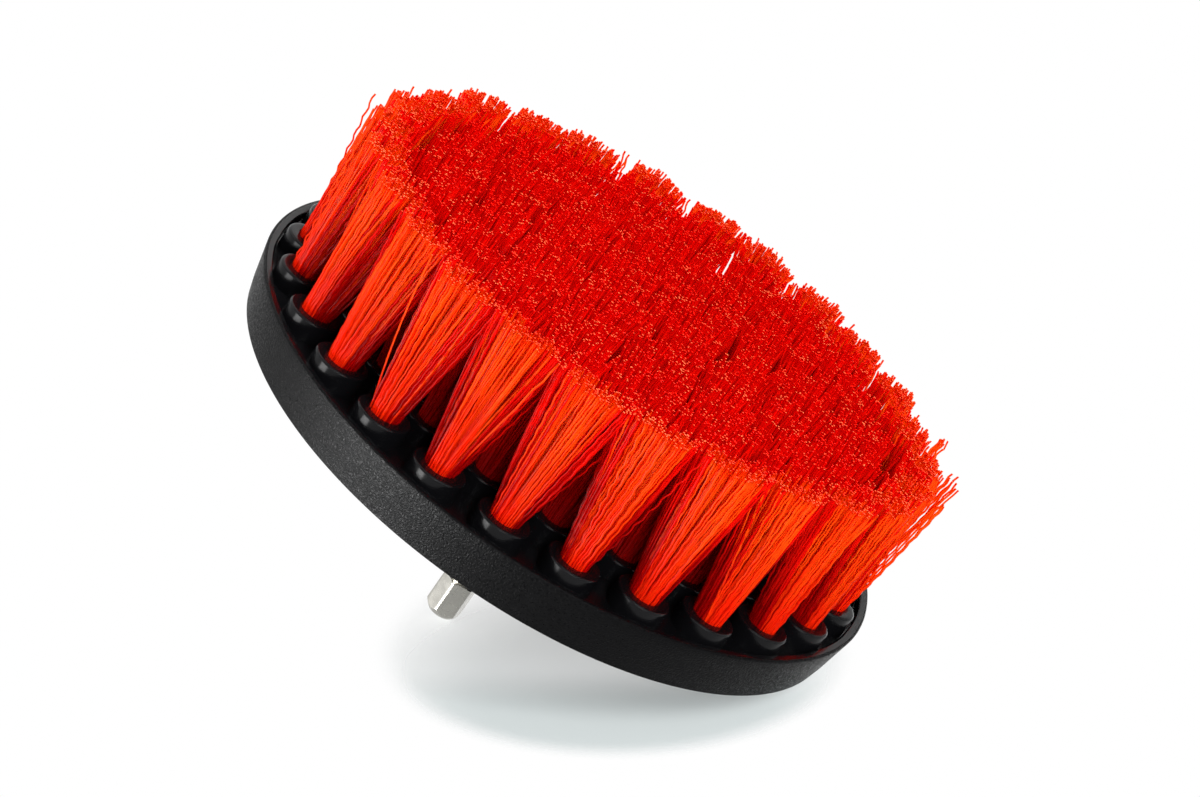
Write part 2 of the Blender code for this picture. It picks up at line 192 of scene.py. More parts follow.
def black_plastic(name, colour, gloss, roughness, patch_size, grain, grain_size, grain_depth):
    """Moulded black plastic: roughness varies by a patch, and the tool's grain is a bump."""
    material, nodes, links = new_material(name)
    shader = nodes["Principled BSDF"]
    shader.inputs["Base Color"].default_value = (*colour, 1.0)
    shader.inputs["Specular IOR Level"].default_value = gloss
    patches = noise_at(nodes, links, patch_size, 3.0)
    links.new(spread(nodes, links, patches, *roughness), shader.inputs["Roughness"])
    bump = nodes.new("ShaderNodeBump")
    bump.inputs["Strength"].default_value = grain
    bump.inputs["Distance"].default_value = grain_depth
    links.new(noise_at(nodes, links, grain_size, 3.0), bump.inputs["Height"])
    links.new(bump.outputs["Normal"], shader.inputs["Normal"])
    return material


polished_black = black_plastic(
    "polished_black", (0.002, 0.002, 0.0024), 0.16, (0.14, 0.2), 9.0 * MM, 0.15, 2.5 * MM, 0.03 * MM
)
grained_black = black_plastic(
    "grained_black", (0.0012, 0.0012, 0.0014), 0.042, (0.26, 0.6), 0.4 * MM, 1.0, 0.32 * MM, 0.16 * MM
)
POLISHED, GRAINED = 0, 1


def make_plate():
    """Rim and dish, bosses with their holes, hub, and the recesses between the spokes."""
    bm = bmesh.new()
    land = RIM_EDGE + LAND_ROUND
    inner_rim = [(DISH_RADIUS, DISH_FLOOR)]
    inner_rim += arc((LAND_INNER + LAND_ROUND, land), LAND_ROUND, 180.0, 270.0)
    inner_rim += [(RIM_RADIUS - LAND_ROUND, RIM_EDGE)]
    dish_edge, land_end = turned_band(bm, inner_rim, RIM_STEPS, finish=POLISHED)
    lean = (RIM_RADIUS - BACK_RADIUS) / (PLATE_BACK - RIM_EDGE)
    outer_wall = arc((RIM_RADIUS - LAND_ROUND, land), LAND_ROUND, -90.0, 0.0)
    for share in (0.25, 0.5, 0.75):
        height = land + (PLATE_BACK - BACK_ROUND - land) * share
        outer_wall.append((RIM_RADIUS - lean * (height - land), height))
    outer_wall += arc((BACK_RADIUS - BACK_ROUND, PLATE_BACK - BACK_ROUND), BACK_ROUND, 0.0, 90.0, 8)
    wall_start, back_edge = turned_band(bm, outer_wall, RIM_STEPS, finish=GRAINED)
    bridge(bm, land_end[0], wall_start[0], GRAINED)

    boss = [(BOSS_FOOT, DISH_FLOOR)]
    boss += arc((BOSS_RADIUS - BOSS_ROUND, BOSS_TOP + BOSS_ROUND), BOSS_ROUND, 0.0, -90.0, 6)
    boss += arc((HOLE_RADIUS + HOLE_ROUND, BOSS_TOP + HOLE_ROUND), HOLE_ROUND, -90.0, -180.0, 3)
    boss += [(HOLE_RADIUS, HOLE_END)]
    floor_edges = dish_edge[1]
    for _, angle, radius in tuft_places():
        centre = (radius * math.cos(angle), radius * math.sin(angle))
        foot, hole = turned_band(bm, boss, BOSS_STEPS, centre, POLISHED)
        floor_edges += foot[1]
        bm.faces.new(hole[0])
    flat_face(bm, floor_edges, POLISHED)

    hub = arc((HUB_FOOT + HUB_FILLET, PLATE_BACK + HUB_FILLET), HUB_FILLET, -90.0, -180.0)
    hub += arc((HUB_RADIUS - HUB_ROUND, HUB_TOP - HUB_ROUND), HUB_ROUND, 0.0, 90.0)
    hub_foot, hub_edge = turned_band(bm, hub, RIM_STEPS // 3, finish=GRAINED)
    socket = circle(6, SOCKET_ACROSS_FLATS / 2.0 / math.cos(math.pi / 6.0))
    mouth, mouth_edges = loop_of(bm, socket, HUB_TOP)
    bottom, _ = loop_of(bm, socket, HUB_TOP - SOCKET_DEPTH)
    bridge(bm, mouth, bottom, GRAINED)
    bm.faces.new(bottom).material_index = GRAINED
    flat_face(bm, hub_edge[1] + mouth_edges, GRAINED)

    back_edges = back_edge[1] + hub_foot[1]
    for k in range(SPOKES):
        loops = []
        bottom_inset = RECESS_LIP[-1][0] + RECESS_DRAFT
        for inset, depth in RECESS_LIP + ((bottom_inset, RECESS_DEPTH),):
            loops.append(loop_of(bm, recess_outline(k, inset), PLATE_BACK - depth))
            if len(loops) > 1:
                bridge(bm, loops[-2][0], loops[-1][0], GRAINED)
        back_edges += loops[0][1]
        bm.faces.new(loops[-1][0]).material_index = GRAINED
    flat_face(bm, back_edges, GRAINED)
    plate = piece_from(bm, "moulded_plate", (polished_black, grained_black))
    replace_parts(plate, "base_plate")


def recess_outline(number, inset):
    """A sector between two spokes, drawn in by the inset on every side."""
    pitch = 2.0 * math.pi / SPOKES
    points = []
    for radius, order in ((RECESS_INNER + inset, 1), (RECESS_OUTER - inset, -1)):
        trim = math.asin((SPOKE_WIDTH / 2.0 + inset) / radius)
        step = (pitch - 2.0 * trim) / RECESS_STEPS
        sweep = [number * pitch + trim + step * k for k in range(RECESS_STEPS + 1)]
        points += [(radius * math.cos(a), radius * math.sin(a)) for a in sweep][::order]
    return points


make_plate()

# The shank is drawn quarter-inch hex bar in plain steel, turned to a chamfer at the end and to
# a groove that a quick-change chuck snaps into. Its head is moulded into the hub.
SHANK_ACROSS_FLATS = 6.35 * MM
SHANK_CORNER = 3.56 * MM
SHANK_END = 76.2 * MM
SHANK_START = HUB_TOP - SOCKET_DEPTH + 0.1 * MM
END_FACE_RADIUS = 2.55 * MM
CHAMFER_LENGTH = 1.3 * MM
CHAMFER_CURVE = 0.8
GROOVE_TOP = SHANK_END - 7.8 * MM
GROOVE_BOTTOM = GROOVE_TOP - 3.6 * MM
GROOVE_RADIUS = 2.45 * MM
GROOVE_SHOULDER = 0.7 * MM
SHANK_STEPS = 144
SHANK_ROW = 0.12 * MM
DULL_PATCH = 2.2 * MM
DRAW_MARK = 0.3 * MM
DRAW_MARK_STRETCH = (1.0, 1.0, 0.02)
DRAW_MARK_DEPTH = 0.01 * MM


def turned_limit(height):
    """How far out the turning tool leaves metal at this height."""
    below_end = SHANK_END - height
    if below_end < CHAMFER_LENGTH:
        share = (below_end / CHAMFER_LENGTH) ** CHAMFER_CURVE
        return END_FACE_RADIUS + (SHANK_CORNER - END_FACE_RADIUS) * share
    into_groove = min(height - GROOVE_BOTTOM, GROOVE_TOP - height)
    if into_groove > 0.0:
        depth = min(into_groove / GROOVE_SHOULDER, 1.0)
        return SHANK_CORNER + (GROOVE_RADIUS - SHANK_CORNER) * math.sin(depth * math.pi / 2.0)
    return SHANK_CORNER


def hex_reach(angle):
    """Distance from the axis to the flat that faces this way; two flats face +Y and -Y."""
    off_flat = (angle + math.pi / 3.0) % (math.pi / 3.0) - math.pi / 6.0
    return SHANK_ACROSS_FLATS / 2.0 / math.cos(off_flat)


def make_shank(material):
    """A stack of outlines up the bar, finely spaced where the tool has turned it."""
    bm = bmesh.new()
    heights = [SHANK_START]
    plain = [GROOVE_BOTTOM, GROOVE_TOP, SHANK_END - CHAMFER_LENGTH, SHANK_END]
    for start, end, fine in zip(plain[:-1], plain[1:], (True, False, True)):
        rows = max(int((end - start) / SHANK_ROW), 2) if fine else 2
        heights += [start + (end - start) * k / rows for k in range(rows)]
    heights.append(SHANK_END)
    last = None
    for height in heights:
        outline = []
        for k in range(SHANK_STEPS):
            angle = 2.0 * math.pi * k / SHANK_STEPS
            reach = min(hex_reach(angle), turned_limit(height))
            outline.append((reach * math.cos(angle), reach * math.sin(angle)))
        step, _ = loop_of(bm, outline, height)
        if last is None:
            bm.faces.new(step)
        else:
            bridge(bm, last, step)
        last = step
    bm.faces.new(last)
    shank = piece_from(bm, "steel_shank", (material,), sharp_over=14.0)
    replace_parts(shank, "hex_shank")


def drawn_steel(name, colour, roughness):
    """Bare steel with fine draw marks along the bar and a few duller patches."""
    material, nodes, links = new_material(name)
    shader = nodes["Principled BSDF"]
    shader.inputs["Base Color"].default_value = (*colour, 1.0)
    shader.inputs["Metallic"].default_value = 1.0
    patches = noise_at(nodes, links, DULL_PATCH)
    links.new(spread(nodes, links, patches, *roughness), shader.inputs["Roughness"])
    bump = nodes.new("ShaderNodeBump")
    bump.inputs["Strength"].default_value = 0.06
    bump.inputs["Distance"].default_value = DRAW_MARK_DEPTH
    marks = noise_at(nodes, links, DRAW_MARK, stretch=DRAW_MARK_STRETCH)
    links.new(marks, bump.inputs["Height"])
    links.new(bump.outputs["Normal"], shader.inputs["Normal"])
    return material


make_shank(drawn_steel("drawn_steel", (0.36, 0.35, 0.32), (0.24, 0.29)))

# Each tuft is held by an anchor: a short flat of galvanised wire, pushed over the fold of the
# filaments into the bottom of the hole, where it bites into the plastic on both sides.
ANCHOR_THICKNESS = 0.5 * MM
ANCHOR_LENGTH = 4.5 * MM
ANCHOR_WIDTH = 1.8 * MM
ANCHOR_HEIGHT = 33.0 * MM
ANCHOR_EDGE = 0.12 * MM

galvanised_wire = drawn_steel("galvanised_wire", (0.5, 0.51, 0.52), (0.35, 0.5))


def make_anchors():
    """The outer ring's anchors keep their solids; the inner rings get theirs as one mesh."""
    for node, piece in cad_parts.items():
        if node.startswith("staple_anchor"):
            piece.data.materials.clear()
            piece.data.materials.append(galvanised_wire)
    bm = bmesh.new()
    for ring, angle, radius in tuft_places():
        if ring > 0:
            place = Matrix.Rotation(angle, 4, "Z") @ Matrix.Translation((radius, 0.0, ANCHOR_HEIGHT))
            size = Matrix.Diagonal((ANCHOR_LENGTH, ANCHOR_THICKNESS, ANCHOR_WIDTH, 1.0))
            bmesh.ops.create_cube(bm, size=1.0, matrix=place @ size)
    bmesh.ops.bevel(bm, geom=bm.edges[:], offset=ANCHOR_EDGE, segments=2, affect="EDGES")
    anchors = piece_from(bm, "inner_anchors", (galvanised_wire,))


make_anchors()

# The tufts are crimped synthetic filament, dyed red right through. A bundle is folded over its
# anchor in the hole and fans out from the boss in a few locks, with a stray filament here and
# there. All are cut off in one plane, which is a little out of true with the plate.
FILAMENT_RADIUS = 0.22 * MM
FILAMENTS_OUTER = 168
FILAMENTS_INNER = 128
PACKED_RADIUS = 2.6 * MM
PACKED_TURN = 2.39996
PACKED_DISORDER = 0.03
FAN_OUTWARDS = 4.7 * MM
FAN_SIDEWAYS = 7.2 * MM
FAN_UNEVEN = 0.7 * MM
FAN_INNER = (6.5 * MM, 7.6 * MM)
FAN_SQUARE_OUTSIDE = -0.25
FAN_SQUARE_INSIDE = 1.0
LEAN = -0.6 * MM
LEAN_SPREAD = 0.5 * MM
LOCKS = 8
LOCK_REACH = 0.85
LOCK_PULL = 0.3
CRIMP_LENGTH = 3.1 * MM
CRIMP_DEPTH = 0.09 * MM
CRIMP_UNEVEN = (0.6, 1.4)
CRIMP_GROWS_OVER = 0.15
HEADING_DRIFT, HEADING_SCATTER = 0.8, 0.35
PHASE_DRIFT, PHASE_SCATTER = 1.2, 0.5
WANDER = 0.3 * MM
TIP_SCATTER = 0.35 * MM
TRIM_SCATTER = 0.22 * MM
STRAY_SHARE = 0.05
STRAY_SPREAD = 2.4 * MM
STRAY_LIMIT = 3.0 * MM
LOOSE_OUTWARDS = (1.0 * MM, 3.4 * MM)
LOOSE_CRIMP = 1.9
LOOSE_BY_TUFT = {1: 1, 14: 8, 15: 9, 16: 5}
ROOT_DEPTH = 1.6 * MM
CUT_TILT = 0.024
CUT_TILT_WAY = (0.3, -0.95)
# Painted light: these limits pick the filaments that take the painted lit tone; the rest take painted
# shade.
SHELL_FROM = 0.72
SIDE_FROM_SHELL, SIDE_FROM_CORE = -0.15, -0.6
SIDE_TO_SHELL, SIDE_TO_CORE = 0.7, 0.82
SIDE_UNEVEN = 0.1
FAR_BELOW = -0.2
FAR_PAINTED_LIT = 0.5
FAR_PAINTED_LIT_WIDER = 0.4
FULL_ROWS = np.linspace(0.0, 1.0, 34)
HIDDEN_ROWS = np.array((0.0, 0.3, 0.52, 0.64, 0.72, 0.79, 0.86, 0.93, 1.0))

chance = np.random.default_rng(7)


def bundle(count):
    """Places in a unit disc, evenly packed as in a drilled hole, with a little disorder."""
    order = np.arange(count)
    reach = np.sqrt((order + 0.5) / count)
    turn = order * PACKED_TURN + chance.uniform(0.0, 2.0 * math.pi)
    spots = np.stack((reach * np.cos(turn), reach * np.sin(turn)), axis=1)
    return spots + chance.normal(0.0, PACKED_DISORDER, spots.shape)


def filament_lines(spots, rows, fan, lean, loose=0):
    """Centre lines of one tuft's filaments about its own axis: outwards, sideways, height."""
    count = len(spots)
    centres = bundle(LOCKS) * LOCK_REACH
    lock = ((spots[:, None] - centres) ** 2).sum(axis=2).argmin(axis=1)
    pulled = spots + (centres[lock] - spots) * LOCK_PULL
    outside = pulled[:, :1] > 0.0
    square = 1.0 + np.where(outside, FAN_SQUARE_OUTSIDE, FAN_SQUARE_INSIDE) * pulled[:, ::-1] ** 2
    tip = pulled * square * np.array(fan) + np.array(lean)
    tip += chance.normal(0.0, TIP_SCATTER, (count, 2))
    stray = chance.random(count) < STRAY_SHARE
    straying = chance.normal(0.0, STRAY_SPREAD, (int(stray.sum()), 2))
    tip[stray] += np.clip(straying, -STRAY_LIMIT, STRAY_LIMIT)
    outermost = spots[:, 0].argsort()[count - loose:]
    tip[outermost, 0] += chance.uniform(*LOOSE_OUTWARDS, loose)
    stray[outermost] = True
    root = spots * PACKED_RADIUS
    along = rows[None, :, None]
    flat = root[:, None, :] + (tip - root)[:, None, :] * along
    flat += chance.normal(0.0, WANDER, (count, 1, 2)) * np.sin(math.pi * along)
    start = BOSS_TOP + ROOT_DEPTH
    end = chance.normal(0.0, TRIM_SCATTER, LOCKS)[lock] + chance.normal(0.0, TRIM_SCATTER, count)
    height = start + (end - start)[:, None] * rows[None, :]
    heading = chance.uniform(0.0, 2.0 * math.pi) + spots @ chance.normal(0.0, HEADING_DRIFT, 2)
    heading += chance.normal(0.0, HEADING_SCATTER, count)
    phase = chance.uniform(0.0, 2.0 * math.pi) + spots @ chance.normal(0.0, PHASE_DRIFT, 2)
    phase += chance.normal(0.0, PHASE_SCATTER, count)
    depth = CRIMP_DEPTH * chance.uniform(*CRIMP_UNEVEN, count) * np.where(stray, LOOSE_CRIMP, 1.0)
    wave = depth[:, None] * np.sin(height * 2.0 * math.pi / CRIMP_LENGTH + phase[:, None])
    wave *= np.clip(rows / CRIMP_GROWS_OVER, 0.0, 1.0)
    crimp_way = np.stack((np.cos(heading), np.sin(heading)), axis=1)
    flat += wave[:, :, None] * crimp_way[:, None, :]
    return np.concatenate((flat, height[:, :, None]), axis=2)


def placed_lines(lines, angle, radius):
    """Lines of a tuft moved out to its place on a ring, and cut along the tilted plane."""
    x = lines[:, :, 0] + radius
    y = lines[:, :, 1]
    across = x * math.cos(angle) - y * math.sin(angle)
    along = x * math.sin(angle) + y * math.cos(angle)
    height = lines[:, :, 2]
    share = 1.0 - height / BOSS_TOP
    extra = (across * CUT_TILT_WAY[0] + along * CUT_TILT_WAY[1]) * CUT_TILT
    return np.stack((across, along, height - extra * share), axis=2)


def add_filaments(verts, faces, cuts, lines):
    """Three-sided filaments round these centre lines, closed at the fold and at the cut."""
    count, rows, _ = lines.shape
    turn = chance.uniform(0.0, 2.0 * math.pi, count)[:, None] + np.arange(3) * 2.0 * math.pi / 3.0
    section = np.stack((np.cos(turn), np.sin(turn), np.zeros_like(turn)), axis=2) * FILAMENT_RADIUS
    first = sum(len(block) for block in verts)
    corners = lines[:, :, None, :] + section[:, None, :, :]
    verts.append(corners.reshape(-1, 3))
    index = first + np.arange(count * rows * 3).reshape(count, rows, 3)
    following = np.roll(index, -1, axis=2)
    sides = np.stack((index[:, :-1], following[:, :-1], following[:, 1:], index[:, 1:]), axis=3)
    faces.extend(sides.reshape(-1, 4).tolist())
    faces.extend(index[:, 0].tolist())
    cuts.extend(range(len(faces), len(faces) + count))
    faces.extend(index[:, -1, ::-1].tolist())


def filament_piece(name, tufts):
    """One mesh of all the filaments of these tufts, given as (lines, angle, radius, tone)."""
    verts, faces, cuts, tones = [], [], [], []
    for lines, angle, radius, tone in tufts:
        add_filaments(verts, faces, cuts, placed_lines(lines, angle, radius))
        tones += [tone] * (len(faces) - len(tones))
    mesh = bpy.data.meshes.new(name)
    mesh.from_pydata(np.concatenate(verts).tolist(), [], faces)
    smooth = np.ones(len(faces), dtype=bool)
    smooth[cuts] = False
    finish = np.array(tones, dtype=np.int32)
    finish[cuts] = CUT
    mesh.polygons.foreach_set("use_smooth", smooth)
    mesh.polygons.foreach_set("material_index", finish)
    for material in (painted_lit_filament, painted_shade_filament, cut_filament):
        mesh.materials.append(material)
    mesh.update()
    piece = bpy.data.objects.new(name, mesh)
    bpy.context.scene.collection.objects.link(piece)
    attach(piece, "root")
    return piece


STREAK = 1.4 * MM
STREAK_STRETCH = (1.0, 1.0, 0.06)
STREAK_DEEPER = 0.5
ROOT_PAINTED_SHADE = 0.9
ROOT_PAINTED_SHADE_FROM = 0.3 * BOSS_TOP


def filament_material(name, colour, deep_colour, through_colour, glow_share, clear_share):
    """Dyed filament: light passes through it, it deepens in streaks, and painted shade darkens it towards
    the root.
    """
    material, nodes, links = new_material(name)
    shader = nodes["Principled BSDF"]
    shader.inputs["Roughness"].default_value = 0.4
    shader.inputs["Specular IOR Level"].default_value = 0.05
    tone = nodes.new("ShaderNodeMix")
    tone.data_type = "RGBA"
    tone.inputs["A"].default_value = (*colour, 1.0)
    tone.inputs["B"].default_value = (*deep_colour, 1.0)
    streaks = noise_at(nodes, links, STREAK, stretch=STREAK_STRETCH)
    coords = nodes.new("ShaderNodeTexCoord")
    axes = nodes.new("ShaderNodeSeparateXYZ")
    links.new(coords.outputs["Object"], axes.inputs["Vector"])
    # Painted shade: darker towards the root, low in the tuft by the plate.
    root_painted_shade = spread(
        nodes, links, axes.outputs["Z"], 0.0, ROOT_PAINTED_SHADE, ROOT_PAINTED_SHADE_FROM, BOSS_TOP
    )
    deeper = nodes.new("ShaderNodeMath")
    deeper.use_clamp = True
    links.new(spread(nodes, links, streaks, 0.0, STREAK_DEEPER), deeper.inputs[0])
    links.new(root_painted_shade, deeper.inputs[1])
    links.new(deeper.outputs["Value"], tone.inputs["Factor"])
    links.new(tone.outputs["Result"], shader.inputs["Base Color"])
    glow = nodes.new("ShaderNodeBsdfTranslucent")
    clear = nodes.new("ShaderNodeBsdfTransparent")
    skin = shader.outputs["BSDF"]
    for part, share in ((glow, glow_share), (clear, clear_share)):
        part.inputs["Color"].default_value = (*through_colour, 1.0)
        both = nodes.new("ShaderNodeMixShader")
        both.inputs["Fac"].default_value = share
        links.new(skin, both.inputs[1])
        links.new(part.outputs["BSDF"], both.inputs[2])
        skin = both.outputs["Shader"]
    links.new(skin, nodes["Material Output"].inputs["Surface"])
    return material


# Painted light: a painted lit, orange copy of the dyed filament, and a painted shade, deeper red copy.
painted_lit_filament = filament_material(
    "painted_lit_filament", (0.98, 0.135, 0.005), (0.86, 0.025, 0.002), (1.0, 0.11, 0.006), 0.3, 0.45
)
painted_shade_filament = filament_material(
    "painted_shade_filament", (0.98, 0.01, 0.003), (0.3, 0.001, 0.001), (0.99, 0.008, 0.0), 0.15, 0.62
)


# Painted highlight on the cut ends, in clusters and towards the face's edge.
CUT_CLUSTER = 4.5 * MM
CUT_CLUSTER_RANGE = (0.5, 0.64)
EDGE_RANGE = (OUTER_RING - 5.0 * MM, OUTER_RING + 3.0 * MM)
EDGE_PAINTED_LIGHT = 0.55


def cut_ends(name, colour, deep_colour):
    """Cut ends with a painted highlight: lighter in clusters, and more along the edge of the face."""
    material, nodes, links = new_material(name)
    shader = nodes["Principled BSDF"]
    shader.inputs["Roughness"].default_value = 0.5
    shader.inputs["Specular IOR Level"].default_value = 0.05
    tone = nodes.new("ShaderNodeMix")
    tone.data_type = "RGBA"
    tone.inputs["A"].default_value = (*deep_colour, 1.0)
    tone.inputs["B"].default_value = (*colour, 1.0)
    clusters = noise_at(nodes, links, CUT_CLUSTER, 4.0)
    coords = nodes.new("ShaderNodeTexCoord")
    reach = nodes.new("ShaderNodeVectorMath")
    reach.operation = "LENGTH"
    links.new(coords.outputs["Object"], reach.inputs[0])
    painted_highlight = nodes.new("ShaderNodeMath")
    painted_highlight.use_clamp = True
    links.new(spread(nodes, links, clusters, 0.0, 1.0, *CUT_CLUSTER_RANGE), painted_highlight.inputs[0])
    outwards = spread(nodes, links, reach.outputs["Value"], 0.0, EDGE_PAINTED_LIGHT, *EDGE_RANGE)
    links.new(outwards, painted_highlight.inputs[1])
    links.new(painted_highlight.outputs["Value"], tone.inputs["Factor"])
    links.new(tone.outputs["Result"], shader.inputs["Base Color"])
    return material


cut_filament = cut_ends("cut_filament", (1.0, 0.17, 0.06), (0.94, 0.01, 0.003))
LIT_PAINTED, SHADE_PAINTED, CUT = 0, 1, 2


def tone_of(spots, along_tilt):
    """Which filaments form the tuft's shell, and which get the painted lit tone, the rest painted shade:
    more lit at the far edge.
    """
    shell = np.hypot(spots[:, 0], spots[:, 1]) > SHELL_FROM
    flank = np.abs(spots[:, 1]) + chance.normal(0.0, SIDE_UNEVEN, len(spots))
    pale = FAR_PAINTED_LIT if along_tilt < FAR_BELOW else 0.0
    front = spots[:, 0] > np.where(shell, SIDE_FROM_SHELL, SIDE_FROM_CORE) - pale
    front &= flank < np.where(shell, SIDE_TO_SHELL, SIDE_TO_CORE) + pale * FAR_PAINTED_LIT_WIDER
    return shell, front


def make_tufts():
    """Each outer tuft is a piece of its own, and each inner ring's tufts are one piece."""
    rings = {}
    number = 0
    for ring, angle, radius in tuft_places():
        lean = chance.normal(0.0, LEAN_SPREAD, 2) + np.array((LEAN, 0.0))
        if ring == 0:
            number += 1
            spots = bundle(FILAMENTS_OUTER)
            along_tilt = math.cos(angle) * CUT_TILT_WAY[0] + math.sin(angle) * CUT_TILT_WAY[1]
            shell, front = tone_of(spots, along_tilt)
            fan = (FAN_OUTWARDS, FAN_SIDEWAYS + FAN_UNEVEN * along_tilt)
            tufts = []
            for part, rows, tone, loose in (
                (front & shell, FULL_ROWS, LIT_PAINTED, LOOSE_BY_TUFT.get(number, 0)),
                (shell & ~front, FULL_ROWS, SHADE_PAINTED, 0),
                (front & ~shell, HIDDEN_ROWS, LIT_PAINTED, 0),
                (~front & ~shell, HIDDEN_ROWS, SHADE_PAINTED, 0),
            ):
                lines = filament_lines(spots[part], rows, fan, lean, loose)
                tufts.append((lines, angle, radius, tone))
            piece = filament_piece(f"tuft_filaments_{number:02d}", tufts)
            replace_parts(piece, f"outer_tuft_{number:02d}")
        else:
            lines = filament_lines(bundle(FILAMENTS_INNER), HIDDEN_ROWS, FAN_INNER, lean)
            rings.setdefault(ring, []).append((lines, angle, radius, SHADE_PAINTED))
    for ring, tufts in rings.items():
        node = f"bristle_ring_{ring + 1}" if ring < RINGS else "centre_tuft"
        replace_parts(filament_piece(f"{node}_filaments", tufts), node)


make_tufts()

# The brush lies as in the photograph, on the plate's back edge and the shank's end, so that floor
# is tilted here, and a level one lies under the cut bristles. Both are pale sheets seen from above.
# The tilted one shows only in a round patch set to the photographed shade, thinner under the rim.
TILT_SIDE = math.radians(11.1)
SHANK_REST_RADIUS = 2.9 * MM
FLOOR_SIZE = 3.0
SHADE_NEARER = 24.0 * MM
SHADE_TURN = math.radians(-7.0)
SHADE_FADE = (24.0 * MM, 62.0 * MM)
SHADE_RIM_SIDE = (-8.0 * MM, 9.0 * MM)
SHADE_RIM_SHARE = 0.58
SHADE_EDGE = (37.5 * MM, 44.5 * MM)
SHADE_EDGE_CENTRE = (-2.0 * MM, 17.2 * MM, 0.0)
LEVEL_FADE = (360.0 * MM, 600.0 * MM)
LEVEL_HEIGHT = -0.6 * MM

floor_tilt = math.atan2(SHANK_END - PLATE_BACK, BACK_RADIUS - SHANK_REST_RADIUS)
floor_up = Vector(
    (
        math.sin(floor_tilt) * math.cos(TILT_SIDE),
        math.sin(floor_tilt) * math.sin(TILT_SIDE),
        -math.cos(floor_tilt),
    )
)
toward_rest = Vector((-math.cos(TILT_SIDE), -math.sin(TILT_SIDE), 0.0))
shank_rest = toward_rest * SHANK_REST_RADIUS + Vector((0.0, 0.0, SHANK_END))


def looking_rays(nodes, links):
    """1 for the rays that see the background: the camera's, and those by way of gloss or glass."""
    path = nodes.new("ShaderNodeLightPath")
    seen = path.outputs["Is Camera Ray"]
    for ray in ("Is Glossy Ray", "Is Transmission Ray"):
        either = nodes.new("ShaderNodeMath")
        either.operation = "MAXIMUM"
        links.new(seen, either.inputs[0])
        links.new(path.outputs[ray], either.inputs[1])
        seen = either.outputs["Value"]
    return seen


def soft_ramp(nodes, links, value, start, end, at_start=1.0, at_end=0.0):
    """Goes smoothly from one share to the other as the value goes from start to end."""
    ramp = nodes.new("ShaderNodeMapRange")
    ramp.interpolation_type = "SMOOTHSTEP"
    ramp.inputs["From Min"].default_value = end
    ramp.inputs["From Max"].default_value = start
    ramp.inputs["To Min"].default_value = at_end
    ramp.inputs["To Max"].default_value = at_start
    links.new(value, ramp.inputs["Value"])
    return ramp.outputs["Result"]


def reach_from(nodes, links, coords, centre):
    """Distance on the floor from this centre."""
    reach = nodes.new("ShaderNodeVectorMath")
    reach.operation = "DISTANCE"
    reach.inputs[1].default_value = centre
    links.new(coords, reach.inputs[0])
    return reach.outputs["Value"]


def floor_material(name, colour, fade, shaded_only=False):
    """Seen only from above; it fades out between two radii, and may show only the shade's patch."""
    material, nodes, links = new_material(name)
    nodes.clear()
    output = nodes.new("ShaderNodeOutputMaterial")
    surface = nodes.new("ShaderNodeBsdfDiffuse")
    surface.inputs["Color"].default_value = (*colour, 1.0)
    geometry = nodes.new("ShaderNodeNewGeometry")
    from_above = nodes.new("ShaderNodeMath")
    from_above.operation = "SUBTRACT"
    links.new(looking_rays(nodes, links), from_above.inputs[0])
    links.new(geometry.outputs["Backfacing"], from_above.inputs[1])
    coords = nodes.new("ShaderNodeTexCoord").outputs["Object"]
    shares = [soft_ramp(nodes, links, reach_from(nodes, links, coords, (0.0, 0.0, 0.0)), *fade)]
    # Painted shade: the round edge cuts off the floor's lamp-cast shadow, and under the rim the floor is
    # thinned, lightening it.
    if shaded_only:
        axes = nodes.new("ShaderNodeSeparateXYZ")
        links.new(coords, axes.inputs["Vector"])
        rim_side = soft_ramp(nodes, links, axes.outputs["Y"], *SHADE_RIM_SIDE, 1.0, SHADE_RIM_SHARE)
        from_edge_centre = reach_from(nodes, links, coords, SHADE_EDGE_CENTRE)
        shares += [rim_side, soft_ramp(nodes, links, from_edge_centre, *SHADE_EDGE)]
    shown = from_above.outputs["Value"]
    for share in shares:
        product = nodes.new("ShaderNodeMath")
        product.operation = "MULTIPLY"
        product.use_clamp = True
        links.new(shown, product.inputs[0])
        links.new(share, product.inputs[1])
        shown = product.outputs["Value"]
    clear = nodes.new("ShaderNodeBsdfTransparent")
    choice = nodes.new("ShaderNodeMixShader")
    links.new(shown, choice.inputs["Fac"])
    links.new(clear.outputs["BSDF"], choice.inputs[1])
    links.new(surface.outputs["BSDF"], choice.inputs[2])
    links.new(choice.outputs["Shader"], output.inputs["Surface"])
    return material


def make_floor(name, place, material):
    """One flat sheet, laid by a matrix."""
    half = FLOOR_SIZE / 2.0
    mesh = bpy.data.meshes.new(name)
    corners = [(-half, -half, 0.0), (half, -half, 0.0), (half, half, 0.0), (-half, half, 0.0)]
    mesh.from_pydata(corners, [], [(0, 1, 2, 3)])
    mesh.materials.append(material)
    floor = bpy.data.objects.new(name, mesh)
    bpy.context.scene.collection.objects.link(floor)
    floor.matrix_world = place


